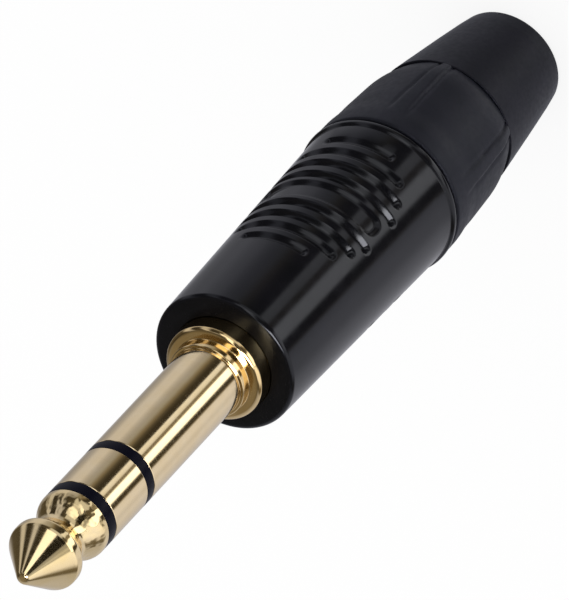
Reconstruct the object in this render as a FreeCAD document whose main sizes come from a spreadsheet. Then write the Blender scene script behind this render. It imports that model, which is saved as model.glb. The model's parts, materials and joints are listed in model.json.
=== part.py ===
"""Stereo jack plug, 6.35 mm, with a screw-on boot and a chuck that grips the cable.

Millimetres. The plug stands on the boot's rear face: the origin is the centre of that
face, +Z runs along the axis to the tip, and the two finger grips of the shell face -Y and +Y.
"""

import FreeCAD, Part
import math
import os
import types

import Sketcher

# Driving sizes, in millimetres and degrees
SIZES = {
    # heights along the axis, from the boot's rear face to the nose of the tip
    "tail_length": 11.4,
    "nut_length": 11.2,
    "seam_gap": 0.3,
    "shell_length": 27.1,
    "collar_stand": 1.9,
    "step_length": 1.0,
    "shank_length": 30.5,
    # the standard shank: tip, ring and sleeve, parted by two insulators
    "shank_radius": 3.175,
    "tip_length": 8.6,
    "tip_gap": 1.2,
    "ring_length": 5.2,
    "ring_gap": 1.1,
    "nose_radius": 0.45,
    "head_radius": 3.175,
    "cone_length": 3.45,
    "head_land": 0.8,
    "waist_radius": 1.97,
    "waist_depth": 6.1,
    "bulge_length": 0.75,
    "nose_round": 0.6,
    "shoulder_round": 0.6,
    "waist_round": 1.0,
    # the nested tubes inside the shank
    "nest_gap": 0.02,
    "rod_radius": 0.9,
    "tip_tube_wall": 0.43,
    "ring_tube_wall": 0.6,
    "ring_sleeve_wall": 0.46,
    # collar of the sleeve contact, and its flange behind the front wall of the shell
    "collar_radius": 4.42,
    "collar_round": 0.5,
    "step_radius": 3.45,
    "flange_radius": 5.15,
    "flange_thickness": 2.0,
    "spigot_radius": 3.6,
    "spigot_length": 1.5,
    # solder tags and the washers between them
    "tag_thickness": 0.5,
    "tag_hole_radius": 0.45,
    "ground_plate_radius": 4.3,
    "ground_tag_width": 2.2,
    "ground_tag_length": 10.0,
    "ground_tag_angle": 180.0,
    "ring_plate_radius": 3.7,
    "ring_tag_width": 2.0,
    "ring_tag_length": 9.0,
    "ring_tag_angle": 60.0,
    "tip_plate_radius": 2.4,
    "tip_tag_width": 1.8,
    "tip_tag_length": 8.0,
    "tip_tag_angle": -60.0,
    "washer_radius": 3.5,
    "washer_thickness": 1.5,
    "bush_radius": 2.6,
    "bush_thickness": 1.5,
    "rivet_radius": 1.5,
    "rivet_height": 0.6,
    "tube_rivet_height": 0.4,
    # shell: a slender cone with a rounded lip at the rear and a threaded neck
    "shell_front_radius": 6.43,
    "shell_rear_radius": 7.12,
    "shell_front_round": 0.45,
    "lip_radius": 7.36,
    "lip_length": 1.3,
    "lip_round": 0.25,
    "front_wall": 1.6,
    "hole_clearance": 0.05,
    "bore_radius": 5.3,
    "neck_radius": 6.05,
    "neck_length": 7.0,
    "neck_chamfer": 0.3,
    "keyway_radius": 5.6,
    "keyway_width": 1.6,
    # finger grips: grooves above and below a smooth band, all with round ends; the
    # shares are of the shell's length
    "grip_centre_share": 0.618,
    "groove_start_share": 0.0793,
    "groove_pitch_share": 0.065,
    "grip_depth": 0.32,
    "groove_width": 0.8,
    "groove_length_1": 12.0,
    "groove_length_2": 11.1,
    "groove_length_3": 9.7,
    "groove_length_4": 6.6,
    "band_width": 2.1,
    "band_length": 11.4,
    # liner between the solder tags and the shell
    "liner_clearance": 0.1,
    "liner_wall": 0.45,
    "liner_length": 15.3,
    "liner_slit": 1.6,
    # chuck: a slit collet with teeth inside and two keys outside
    "chuck_clearance": 0.3,
    "chuck_bore": 4.0,
    "jaw_length": 9.4,
    "jaw_taper_length": 3.0,
    "jaw_end_radius": 4.6,
    "jaw_slit": 0.8,
    "jaw_count": 6,
    "tooth_height": 0.5,
    "tooth_pitch": 1.1,
    "key_clearance": 0.15,
    "key_length": 12.0,
    # boot nut: threaded, with a cone that closes the jaws, and five flutes outside
    "thread_clearance": 0.15,
    "nut_front_radius": 7.3,
    "nut_shoulder_radius": 7.24,
    "nut_shoulder_height": 4.4,
    "nut_waist_radius": 7.04,
    "nut_waist_height": 1.9,
    "nut_rear_radius": 6.46,
    "nut_edge_round": 0.3,
    "thread_depth": 7.2,
    "cone_clearance": 0.25,
    "nut_floor": 1.0,
    "anchor_radius": 4.6,
    "anchor_length": 6.0,
    "flute_count": 5,
    "flute_clocking": 12.0,
    "flute_offset": 3.5,
    "flute_rear_depth": 0.34,
    "flute_middle_depth": 0.26,
    "flute_front_depth": 0.12,
    "flute_front_height": 7.0,
    "flute_end_height": 8.4,
    "flute_sweep": 110.0,
    # soft tail of the boot
    "tail_rear_radius": 4.88,
    "tail_front_radius": 6.4,
    "tail_middle_radius": 5.66,
    "tail_middle_height": 5.4,
    "tail_end_radius": 5.18,
    "tail_end_height": 1.8,
    "tail_rear_round": 0.45,
    "cable_radius": 3.6,
    "cable_flare": 0.35,
}

# Rows of teeth inside the chuck
TOOTH_ROWS = 3


class Size:
    """A length: its number now, and its formula in the names of the sheet."""

    def __init__(self, number, formula):
        self.number = number
        self.formula = formula

    def joined(self, other, sign, number):
        text = other.formula if isinstance(other, Size) else str(other)
        return Size(number, "(%s %s %s)" % (self.formula, sign, text))

    def __add__(self, other):
        return self.joined(other, "+", self.number + number_of(other))

    def __sub__(self, other):
        return self.joined(other, "-", self.number - number_of(other))

    def __mul__(self, other):
        return self.joined(other, "*", self.number * number_of(other))

    def __truediv__(self, other):
        return self.joined(other, "/", self.number / number_of(other))


def number_of(value):
    return value.number if isinstance(value, Size) else float(value)


doc = FreeCAD.newDocument("stereo_jack_plug")
sheet = doc.addObject("Spreadsheet::Sheet", "Sizes")
for row, (alias, number) in enumerate(SIZES.items(), start=1):
    sheet.set("A%d" % row, alias)
    sheet.set("B%d" % row, str(number))
    sheet.setAlias("B%d" % row, alias)
doc.recompute()

S = types.SimpleNamespace(**{name: Size(number, "Sizes." + name) for name, number in SIZES.items()})
ZERO = Size(0.0, "0")
UP = FreeCAD.Vector(0, 0, 1)

# Heights of the main faces
nut_bottom = S.tail_length
nut_top = nut_bottom + S.nut_length
shell_bottom = nut_top + S.seam_gap
shell_top = shell_bottom + S.shell_length
wall_inside = shell_top - S.front_wall
collar_top = shell_top + S.collar_stand
shank_start = collar_top + S.step_length
nose = shank_start + S.shank_length
tip_back = nose - S.tip_length
ring_front = tip_back - S.tip_gap
ring_back = ring_front - S.ring_length
sleeve_front = ring_back - S.ring_gap
flange_back = wall_inside - S.flange_thickness
spigot_end = flange_back - S.spigot_length
washer_end = spigot_end - S.washer_thickness
ring_plate_end = washer_end - S.tag_thickness
ring_tube_end = ring_plate_end - S.tube_rivet_height
bush_end = ring_tube_end - S.bush_thickness
tip_plate_end = bush_end - S.tag_thickness
rod_end = tip_plate_end - S.rivet_height
neck_end = shell_bottom - S.neck_length
liner_end = flange_back - S.tag_thickness - S.liner_length
nut_floor = nut_bottom + S.nut_floor
chuck_top = liner_end - S.chuck_clearance
chuck_bottom = nut_floor + S.chuck_clearance
taper_top = chuck_bottom + S.jaw_taper_length
jaw_root = chuck_bottom + S.jaw_length
cone_top = nut_top - S.thread_depth

# Radii of the nested tubes, from the rod outwards
tip_tube_inside = S.rod_radius + S.nest_gap
tip_tube_outside = tip_tube_inside + S.tip_tube_wall
ring_tube_inside = tip_tube_outside + S.nest_gap
ring_tube_outside = ring_tube_inside + S.ring_tube_wall
ring_sleeve_inside = ring_tube_outside + S.nest_gap
ring_sleeve_outside = ring_sleeve_inside + S.ring_sleeve_wall
sleeve_bore = ring_sleeve_outside + S.nest_gap
hole_radius = S.collar_radius + S.hole_clearance
liner_outside = S.bore_radius - S.liner_clearance
liner_inside = liner_outside - S.liner_wall
chuck_outside = S.bore_radius - S.chuck_clearance
thread_bore = S.neck_radius + S.thread_clearance


def new_body(name):
    body = doc.addObject("PartDesign::Body", name)
    body.Label = name
    return body


def origin_plane(body, role):
    for feature in body.Origin.OriginFeatures:
        if feature.Role == role:
            return feature
    raise ValueError(role)


def new_sketch(body, name, role, across=None, normal=None):
    """Sketch on one of the body's own planes, shifted across it or along its normal."""
    sketch = body.newObject("Sketcher::SketchObject", name)
    sketch.AttachmentSupport = [(origin_plane(body, role), "")]
    sketch.MapMode = "FlatFace"
    if across is not None:
        sketch.setExpression("AttachmentOffset.Base.x", across.formula)
    if normal is not None:
        sketch.setExpression("AttachmentOffset.Base.z", normal.formula)
    return sketch


def bind(feature, name, size):
    feature.setExpression(name, size.formula)


def held(sketch, kind, places, size):
    """A constraint whose value follows the sheet."""
    index = sketch.addConstraint(Sketcher.Constraint(kind, *places, size.number))
    sketch.setExpression("Constraints[%d]" % index, size.formula)


def hold_point(sketch, geometry, end, across, up):
    """Keep a point at its two distances from the sketch's origin, or on an axis."""
    if across is ZERO:
        sketch.addConstraint(Sketcher.Constraint("PointOnObject", geometry, end, -2))
    else:
        held(sketch, "DistanceX", (-1, 1, geometry, end), across)
    if up is ZERO:
        sketch.addConstraint(Sketcher.Constraint("PointOnObject", geometry, end, -1))
    else:
        held(sketch, "DistanceY", (-1, 1, geometry, end), up)


def join_ends(sketch, edges):
    """Each edge ends where the next one starts, and the last one closes the outline."""
    for edge, following in zip(edges, edges[1:] + edges[:1]):
        sketch.addConstraint(Sketcher.Constraint("Coincident", edge, 2, following, 1))


def draw_loop(sketch, places):
    """Closed loop of straight edges, which are joined but not yet held in place."""
    lines = []
    for start, end in zip(places, places[1:] + places[:1]):
        lines.append(sketch.addGeometry(Part.LineSegment(start, end), False))
    join_ends(sketch, lines)
    return lines


def corner_bend(before, here, after, radius):
    """Start and end of a corner's round, its arc, and the arc's ends in that order."""
    back = (before - here).normalize()
    ahead = (after - here).normalize()
    half = back.getAngle(ahead) / 2
    enter = here + back * (radius / math.tan(half))
    leave = here + ahead * (radius / math.tan(half))
    centre = here + (back + ahead).normalize() * (radius / math.sin(half))
    left_turn = ahead.cross(back).z > 0
    first, last = (enter, leave) if left_turn else (leave, enter)
    angles = [math.atan2(point.y - centre.y, point.x - centre.x) for point in (first, last)]
    arc = Part.ArcOfCircle(Part.Circle(centre, UP, radius), *angles)
    return enter, leave, arc, (1, 2) if left_turn else (2, 1)


def draw_outline(sketch, corners):
    """Closed outline through (across, up) corners; a corner with a third size is rounded by it."""
    places = [FreeCAD.Vector(number_of(corner[0]), number_of(corner[1]), 0) for corner in corners]
    bends = {}
    for index, corner in enumerate(corners):
        if len(corner) == 3:
            following = places[(index + 1) % len(places)]
            bends[index] = corner_bend(places[index - 1], places[index], following, corner[2].number)
    lines = []
    for index, place in enumerate(places):
        following = (index + 1) % len(places)
        start = bends[index][1] if index in bends else place
        end = bends[following][0] if following in bends else places[following]
        lines.append(sketch.addGeometry(Part.LineSegment(start, end), False))
    for index, corner in enumerate(corners):
        before, after = lines[index - 1], lines[index]
        if index not in bends:
            sketch.addConstraint(Sketcher.Constraint("Coincident", before, 2, after, 1))
            hold_point(sketch, after, 1, corner[0], corner[1])
            continue
        bend, (entry_end, exit_end) = bends[index][2:]
        arc = sketch.addGeometry(bend, False)
        point = sketch.addGeometry(Part.Point(places[index]), True)
        sketch.addConstraint(Sketcher.Constraint("Tangent", before, 2, arc, entry_end))
        sketch.addConstraint(Sketcher.Constraint("Tangent", arc, exit_end, after, 1))
        sketch.addConstraint(Sketcher.Constraint("PointOnObject", point, 1, before))
        sketch.addConstraint(Sketcher.Constraint("PointOnObject", point, 1, after))
        hold_point(sketch, point, 1, corner[0], corner[1])
        held(sketch, "Radius", (arc,), corner[2])


def draw_circle(sketch, across, up, radius):
    centre = FreeCAD.Vector(number_of(across), number_of(up), 0)
    ring = sketch.addGeometry(Part.Circle(centre, UP, radius.number), False)
    hold_point(sketch, ring, 3, across, up)
    held(sketch, "Radius", (ring,), radius)


def draw_box(sketch, left, right, half_width):
    """Rectangle from left to right, as wide below the axis as above it."""
    a, b, half = number_of(left), number_of(right), half_width.number
    corners = [(a, -half), (b, -half), (b, half), (a, half)]
    lines = draw_loop(sketch, [FreeCAD.Vector(x, y, 0) for x, y in corners])
    for line in (lines[0], lines[2]):
        sketch.addConstraint(Sketcher.Constraint("Horizontal", line))
    for line in (lines[1], lines[3]):
        sketch.addConstraint(Sketcher.Constraint("Vertical", line))
    hold_point(sketch, lines[2], 1, right, half_width)
    if left is ZERO:
        sketch.addConstraint(Sketcher.Constraint("PointOnObject", lines[2], 2, -2))
    else:
        held(sketch, "DistanceX", (-1, 1, lines[2], 2), left)
    held(sketch, "DistanceY", (lines[0], 1, lines[2], 2), half_width * 2)


def draw_slot(sketch, height, length, width):
    """Slot with round ends, level and centred on the sketch's upright axis."""
    half = width / 2
    reach = length / 2 - half
    edges = []
    for side in (-1, 1):
        corner = FreeCAD.Vector(side * reach.number, height.number + side * half.number, 0)
        far = FreeCAD.Vector(-corner.x, corner.y, 0)
        flat = sketch.addGeometry(Part.LineSegment(far, corner), False)
        middle = FreeCAD.Vector(corner.x, height.number, 0)
        start = side * math.pi / 2
        bend = Part.ArcOfCircle(Part.Circle(middle, UP * -1, half.number), -start, math.pi - start)
        edges += [flat, sketch.addGeometry(bend, False)]
    join_ends(sketch, edges)
    for end, across in ((edges[1], ZERO - reach), (edges[3], reach)):
        hold_point(sketch, end, 3, across, height)
        held(sketch, "Radius", (end,), half)
        sketch.addConstraint(Sketcher.Constraint("Vertical", end, 1, end, 3))
        sketch.addConstraint(Sketcher.Constraint("Vertical", end, 2, end, 3))


def turned(body, name, points):
    """Solid of revolution about Z from an outline of (radius, height) points."""
    sketch = new_sketch(body, name + "_section", "XZ_Plane")
    draw_outline(sketch, points)
    solid = body.newObject("PartDesign::Revolution", name)
    solid.Profile = sketch
    solid.ReferenceAxis = (sketch, ["V_Axis"])
    solid.Angle = 360
    body.Tip = solid
    return solid


def ring_edges(shape, rings):
    """Names of the full circles at the given radii and heights."""
    names = []
    for index, edge in enumerate(shape.Edges, start=1):
        if not isinstance(edge.Curve, Part.Circle):
            continue
        for radius, height in rings:
            near_radius = abs(edge.Curve.Radius - radius.number) < 1e-4
            near_height = abs(edge.Curve.Center.z - number_of(height)) < 1e-4
            if near_radius and near_height:
                names.append("Edge%d" % index)
    return names


def chamfered(body, name, size, rings):
    """Chamfer on the circular edges at the given places."""
    doc.recompute()
    base = body.Tip
    dress = body.newObject("PartDesign::Chamfer", name)
    dress.Base = (base, ring_edges(base.Shape, rings))
    bind(dress, "Size", size)
    body.Tip = dress


def around_z(body, name, features, count, angle=360):
    """Copies of the features, evenly round the axis."""
    pattern = body.newObject("PartDesign::PolarPattern", name)
    pattern.Originals = features
    pattern.Axis = (origin_plane(body, "Z_Axis"), [""])
    pattern.Angle = angle
    if isinstance(count, Size):
        bind(pattern, "Occurrences", count)
        pattern.Occurrences = int(count.number)
    else:
        pattern.Occurrences = count
    body.Tip = pattern
    return pattern


def make_tip_contact():
    """Pointed head, waist and bulge, one piece with the rod that is riveted at the rear."""
    body = new_body("tip_contact")
    head_back = nose - S.cone_length - S.head_land
    waist = nose - S.waist_depth
    bulge_front = tip_back + S.bulge_length
    turned(body, "tip_turning", [
        (ZERO, nose),
        (S.nose_radius, nose, S.nose_round),
        (S.head_radius, nose - S.cone_length, S.shoulder_round),
        (S.head_radius, head_back, S.shoulder_round),
        (S.waist_radius, waist, S.waist_round),
        (S.head_radius, bulge_front, S.shoulder_round),
        (S.head_radius, tip_back),
        (S.rod_radius, tip_back),
        (S.rod_radius, tip_plate_end),
        (S.rivet_radius, tip_plate_end),
        (S.rivet_radius, rod_end),
        (ZERO, rod_end),
    ])
    return body


def make_tube(name, inside, outside, front_radius, front, front_back, back):
    """Insulator or contact: a ring that shows on the shank, and a tube behind it."""
    body = new_body(name)
    turned(body, name + "_turning", [
        (inside, front),
        (front_radius, front),
        (front_radius, front_back),
        (outside, front_back),
        (outside, back),
        (inside, back),
    ])
    return body


def make_sleeve_contact():
    """Sleeve of the shank, step ring, collar, flange and rear spigot, turned as one piece."""
    body = new_body("sleeve_contact")
    turned(body, "sleeve_turning", [
        (sleeve_bore, sleeve_front),
        (S.shank_radius, sleeve_front),
        (S.shank_radius, shank_start),
        (S.step_radius, shank_start),
        (S.step_radius, collar_top),
        (S.collar_radius, collar_top),
        (S.collar_radius, wall_inside),
        (S.flange_radius, wall_inside),
        (S.flange_radius, flange_back),
        (S.spigot_radius, flange_back),
        (S.spigot_radius, spigot_end),
        (sleeve_bore, spigot_end),
    ])
    chamfered(body, "collar_rounding", S.collar_round, [(S.collar_radius, collar_top)])
    return body


def make_washer(name, inside, outside, top, bottom):
    body = new_body(name)
    turned(body, name + "_turning", [(inside, top), (outside, top), (outside, bottom), (inside, bottom)])
    return body


def make_tag(name, inside, plate_radius, top, width, length, angle):
    """Solder tag: a flat ring, and a strip that hangs from its rim and ends in a holed tongue."""
    body = new_body(name)
    plate = new_sketch(body, name + "_plate", "XY_Plane", normal=top - S.tag_thickness)
    draw_circle(plate, ZERO, ZERO, plate_radius)
    draw_circle(plate, ZERO, ZERO, inside)
    pad = body.newObject("PartDesign::Pad", name + "_ring")
    pad.Profile = plate
    bind(pad, "Length", S.tag_thickness)

    strip = new_sketch(body, name + "_outline", "YZ_Plane", normal=plate_radius - S.tag_thickness)
    half = width / 2
    tongue = top - length + half
    low, high, side = tongue.number, top.number, half.number
    corners = [FreeCAD.Vector(x, y, 0) for x, y in ((-side, high), (-side, low), (side, low), (side, high))]
    round_end = Part.Circle(FreeCAD.Vector(0, low, 0), UP, side)
    left = strip.addGeometry(Part.LineSegment(corners[0], corners[1]), False)
    turn = strip.addGeometry(Part.ArcOfCircle(round_end, math.pi, 2 * math.pi), False)
    right = strip.addGeometry(Part.LineSegment(corners[2], corners[3]), False)
    head = strip.addGeometry(Part.LineSegment(corners[3], corners[0]), False)
    join_ends(strip, [left, turn, right, head])
    strip.addConstraint(Sketcher.Constraint("Vertical", left))
    strip.addConstraint(Sketcher.Constraint("Vertical", right))
    strip.addConstraint(Sketcher.Constraint("Horizontal", head))
    strip.addConstraint(Sketcher.Constraint("Horizontal", turn, 1, turn, 3))
    strip.addConstraint(Sketcher.Constraint("Horizontal", turn, 2, turn, 3))
    hold_point(strip, turn, 3, ZERO, tongue)
    held(strip, "Radius", (turn,), half)
    held(strip, "DistanceY", (-1, 1, right, 2), top)
    draw_circle(strip, ZERO, tongue, S.tag_hole_radius)
    tag = body.newObject("PartDesign::Pad", name + "_strip")
    tag.Profile = strip
    bind(tag, "Length", S.tag_thickness)
    body.Tip = tag
    body.setExpression("Placement.Rotation.Angle", angle.formula)
    body.Placement = FreeCAD.Placement(FreeCAD.Vector(), FreeCAD.Rotation(UP, angle.number))
    return body


def make_liner():
    """Insulating tube between the solder tags and the shell, slit along one side."""
    body = new_body("insulating_sleeve")
    top = flange_back - S.tag_thickness
    turned(body, "liner_turning", [
        (liner_inside, top),
        (liner_outside, top),
        (liner_outside, liner_end),
        (liner_inside, liner_end),
    ])
    slit = new_sketch(body, "liner_slit", "XY_Plane", normal=liner_end)
    draw_box(slit, ZERO, S.bore_radius, S.liner_slit / 2)
    cut = body.newObject("PartDesign::Pocket", "liner_slot")
    cut.Profile = slit
    cut.Reversed = True
    bind(cut, "Length", S.liner_length * 2)
    body.Tip = cut
    return body


def surface_radius(height):
    """Outside radius of the shell's cone at a height."""
    rise = shell_top - (shell_bottom + S.lip_length)
    slope = (S.shell_rear_radius - S.shell_front_radius) / rise
    return S.shell_front_radius + slope * (shell_top - height)


def cut_grips(body):
    """Slots right through both walls for the grooves and the bands, then the wall behind them again."""
    centre = shell_top - S.shell_length * S.grip_centre_share
    start = S.shell_length * S.groove_start_share
    pitch = S.shell_length * S.groove_pitch_share
    slots = new_sketch(body, "grip_slots", "XZ_Plane")
    draw_slot(slots, centre, S.band_length, S.band_width)
    lengths = (S.groove_length_1, S.groove_length_2, S.groove_length_3, S.groove_length_4)
    for row, length in enumerate(lengths):
        reach = start + pitch * row
        draw_slot(slots, centre + reach, length, S.groove_width)
        draw_slot(slots, centre - reach, length, S.groove_width)
    cut = body.newObject("PartDesign::Pocket", "grips")
    cut.Profile = slots
    cut.Type = "ThroughAll"
    cut.Midplane = True
    body.Tip = cut
    half = start + pitch * (len(lengths) - 1) + S.groove_width
    low, high = centre - half, centre + half
    turned(body, "grip_wall", [
        (S.bore_radius, low),
        (surface_radius(low) - S.grip_depth, low),
        (surface_radius(high) - S.grip_depth, high),
        (S.bore_radius, high),
    ])


def make_shell():
    """Shell: cone, rear lip, front wall, threaded neck, two finger grips and two keyways."""
    body = new_body("shell")
    turned(body, "shell_turning", [
        (hole_radius, shell_top),
        (S.shell_front_radius, shell_top),
        (S.shell_rear_radius, shell_bottom + S.lip_length),
        (S.lip_radius, shell_bottom + S.lip_length / 3),
        (S.lip_radius, shell_bottom),
        (S.neck_radius, shell_bottom),
        (S.neck_radius, neck_end),
        (S.bore_radius, neck_end),
        (S.bore_radius, wall_inside),
        (hole_radius, wall_inside),
    ])
    chamfered(body, "front_edge", S.shell_front_round, [(S.shell_front_radius, shell_top)])
    chamfered(body, "lip_edge", S.lip_round, [(S.lip_radius, shell_bottom)])
    chamfered(body, "neck_edge", S.neck_chamfer, [(S.neck_radius, neck_end)])
    cut_grips(body)
    keyway = new_sketch(body, "keyway_section", "XY_Plane", normal=neck_end)
    draw_box(keyway, ZERO, S.keyway_radius, S.keyway_width / 2)
    cut = body.newObject("PartDesign::Pocket", "keyway")
    cut.Profile = keyway
    cut.Reversed = True
    bind(cut, "Length", wall_inside - neck_end)
    body.Tip = cut
    around_z(body, "keyways", [cut], 2)
    return body


def make_chuck():
    """Plastic collet: a keyed barrel, six jaws that taper at the end, and rows of teeth inside."""
    body = new_body("chuck")
    points = [
        (S.chuck_bore, chuck_top),
        (chuck_outside, chuck_top),
        (chuck_outside, taper_top),
        (S.jaw_end_radius, chuck_bottom),
        (S.chuck_bore, chuck_bottom),
    ]
    for row in range(TOOTH_ROWS):
        root = chuck_bottom + S.tooth_pitch * (row + 0.5)
        points.append((S.chuck_bore, root))
        points.append((S.chuck_bore - S.tooth_height, root + S.tooth_pitch / 2))
    points.append((S.chuck_bore, chuck_bottom + S.tooth_pitch * (TOOTH_ROWS + 0.5)))
    turned(body, "chuck_turning", points)

    slit = new_sketch(body, "jaw_slit", "XY_Plane", normal=chuck_bottom)
    draw_box(slit, ZERO, S.bore_radius, S.jaw_slit / 2)
    cut = body.newObject("PartDesign::Pocket", "jaw_slot")
    cut.Profile = slit
    cut.Reversed = True
    bind(cut, "Length", S.jaw_length)
    body.Tip = cut
    around_z(body, "jaw_slots", [cut], S.jaw_count)

    key = new_sketch(body, "key_section", "XY_Plane", normal=chuck_top - S.key_length)
    inner = chuck_outside - S.key_clearance
    draw_box(key, inner, S.keyway_radius - S.key_clearance, S.keyway_width / 2 - S.key_clearance)
    rib = body.newObject("PartDesign::Pad", "key")
    rib.Profile = key
    bind(rib, "Length", S.key_length)
    body.Tip = rib
    around_z(body, "keys", [rib], 2)
    return body


def make_boot_nut():
    """Hard nut of the boot: threaded bore, cone over the jaws, anchor tube and outside flutes."""
    body = new_body("boot_nut")
    cone_front = chuck_outside + S.cone_clearance
    cone_rear = S.jaw_end_radius + S.cone_clearance
    turned(body, "nut_turning", [
        (thread_bore, nut_top),
        (S.nut_front_radius, nut_top),
        (S.nut_shoulder_radius, nut_bottom + S.nut_shoulder_height + S.nut_waist_height),
        (S.nut_waist_radius, nut_bottom + S.nut_waist_height),
        (S.nut_rear_radius, nut_bottom),
        (S.anchor_radius, nut_bottom),
        (S.anchor_radius, nut_bottom - S.anchor_length),
        (S.cable_radius, nut_bottom - S.anchor_length),
        (S.cable_radius, nut_floor),
        (cone_rear, nut_floor),
        (cone_front, taper_top),
        (cone_front, cone_top),
        (thread_bore, cone_top),
    ])
    chamfered(body, "nut_edge", S.nut_edge_round, [(S.nut_front_radius, nut_top)])

    flute = new_sketch(body, "flute_section", "XZ_Plane", across=ZERO - S.flute_offset)
    outside = S.nut_front_radius * 2
    middle = nut_bottom + S.nut_waist_height
    draw_outline(flute, [
        (S.flute_offset + S.nut_rear_radius - S.flute_rear_depth, nut_bottom),
        (S.flute_offset + S.nut_waist_radius - S.flute_middle_depth, middle),
        (S.flute_offset + S.nut_shoulder_radius - S.flute_front_depth, nut_bottom + S.flute_front_height),
        (S.flute_offset + S.nut_front_radius, nut_bottom + S.flute_end_height),
        (outside, nut_bottom + S.flute_end_height),
        (outside, nut_bottom),
    ])
    cut = body.newObject("PartDesign::Groove", "flute")
    cut.Profile = flute
    cut.ReferenceAxis = (flute, ["V_Axis"])
    bind(cut, "Angle", S.flute_sweep)
    cut.Midplane = True
    body.Tip = cut
    around_z(body, "flutes", [cut], S.flute_count)
    bind(body, "Placement.Rotation.Angle", S.flute_clocking)
    return body


def make_boot_tail():
    """Soft tail that keeps the cable from kinking, moulded over the nut's anchor tube."""
    body = new_body("boot_tail")
    anchor_end = nut_bottom - S.anchor_length
    anchor_bore = S.anchor_radius + S.nest_gap
    turned(body, "tail_turning", [
        (anchor_bore, nut_bottom),
        (S.tail_front_radius, nut_bottom),
        (S.tail_middle_radius, S.tail_middle_height),
        (S.tail_end_radius, S.tail_end_height),
        (S.tail_rear_radius, ZERO),
        (S.cable_radius, ZERO),
        (S.cable_radius, anchor_end),
        (anchor_bore, anchor_end),
    ])
    chamfered(body, "rear_edge", S.tail_rear_round, [(S.tail_rear_radius, ZERO)])
    chamfered(body, "cable_edge", S.cable_flare, [(S.cable_radius, ZERO)])
    return body


insulator_front = S.shank_radius
parts = [
    make_tip_contact(),
    make_tube("tip_insulator", tip_tube_inside, tip_tube_outside, insulator_front,
              tip_back, ring_front, ring_tube_end),
    make_tube("ring_contact", ring_tube_inside, ring_tube_outside, insulator_front,
              ring_front, ring_back, ring_tube_end),
    make_tube("ring_insulator", ring_sleeve_inside, ring_sleeve_outside, insulator_front,
              ring_back, sleeve_front, spigot_end),
    make_sleeve_contact(),
    make_washer("tag_washer", ring_sleeve_inside, S.washer_radius, spigot_end, washer_end),
    make_washer("rear_bush", tip_tube_inside, S.bush_radius, ring_tube_end, bush_end),
    make_tag("ground_tag", S.spigot_radius + S.nest_gap, S.ground_plate_radius, flange_back,
             S.ground_tag_width, S.ground_tag_length, S.ground_tag_angle),
    make_tag("ring_tag", ring_sleeve_inside, S.ring_plate_radius, washer_end,
             S.ring_tag_width, S.ring_tag_length, S.ring_tag_angle),
    make_tag("tip_tag", tip_tube_inside, S.tip_plate_radius, bush_end,
             S.tip_tag_width, S.tip_tag_length, S.tip_tag_angle),
    make_liner(),
    make_shell(),
    make_chuck(),
    make_boot_nut(),
    make_boot_tail(),
]
doc.recompute()

for item in doc.Objects:
    if "Invalid" in item.State or "Error" in item.State:
        raise RuntimeError("%s is %s" % (item.Name, item.State))
for item in parts:
    if item.Shape.isNull() or not item.Shape.isValid() or len(item.Shape.Solids) != 1:
        raise RuntimeError("%s has no single valid solid" % item.Label)

os.makedirs("parts", exist_ok=True)
for item in parts:
    item.Shape.exportStep(os.path.join("parts", item.Label + ".step"))
    box = item.Shape.BoundBox
    print("%-18s volume %8.2f  z %6.2f to %6.2f  x %5.2f y %5.2f" % (
        item.Label, item.Shape.Volume, box.ZMin, box.ZMax, box.XMax, box.YMax))
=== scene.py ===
"""The looks of a stereo jack plug that stands on its cable boot, on a pale floor."""

import json
import math

import bmesh
import bpy
from mathutils import Matrix, Vector


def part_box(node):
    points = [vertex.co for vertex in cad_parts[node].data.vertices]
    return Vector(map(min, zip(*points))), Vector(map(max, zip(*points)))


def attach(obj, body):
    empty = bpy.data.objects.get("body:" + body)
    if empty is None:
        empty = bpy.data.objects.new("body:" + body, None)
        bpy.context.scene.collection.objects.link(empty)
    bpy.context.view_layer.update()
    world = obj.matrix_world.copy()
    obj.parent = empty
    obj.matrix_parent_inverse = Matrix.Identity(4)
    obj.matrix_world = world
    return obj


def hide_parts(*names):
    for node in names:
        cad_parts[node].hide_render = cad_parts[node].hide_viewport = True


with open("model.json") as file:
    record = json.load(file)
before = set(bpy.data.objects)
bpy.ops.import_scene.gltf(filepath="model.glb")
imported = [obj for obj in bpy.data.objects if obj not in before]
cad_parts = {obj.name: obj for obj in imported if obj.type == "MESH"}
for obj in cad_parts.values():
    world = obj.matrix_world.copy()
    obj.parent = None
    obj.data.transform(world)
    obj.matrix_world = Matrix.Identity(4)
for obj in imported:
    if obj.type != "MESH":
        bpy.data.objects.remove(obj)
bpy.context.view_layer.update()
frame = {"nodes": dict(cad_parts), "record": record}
nodes = frame["nodes"]
record = frame["record"]
body_of = {
    node: body
    for body, members in record["behaviour"]["bodies"].items()
    for node in members
}

MM = 0.001
WHITE = (1.0, 1.0, 1.0, 1.0)


def bottom(node):
    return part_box(node)[0].z / MM


def top(node):
    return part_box(node)[1].z / MM


# Heights in millimetres, read from the frame
SEAM_GAP = 0.3
nut_bottom = top("boot_tail")
nut_top = top("boot_nut")
anchor_end = bottom("boot_nut")
neck_end = bottom("shell")
shell_bottom = nut_top + SEAM_GAP
shell_top = top("shell")
spigot_end = bottom("sleeve_contact")
sleeve_front = top("sleeve_contact")
ring_tube_end = bottom("ring_contact")
ring_back = top("ring_insulator")
ring_front = top("ring_contact")
rod_end = bottom("tip_contact")
tip_back = top("tip_insulator")
nose = top("tip_contact")

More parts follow.
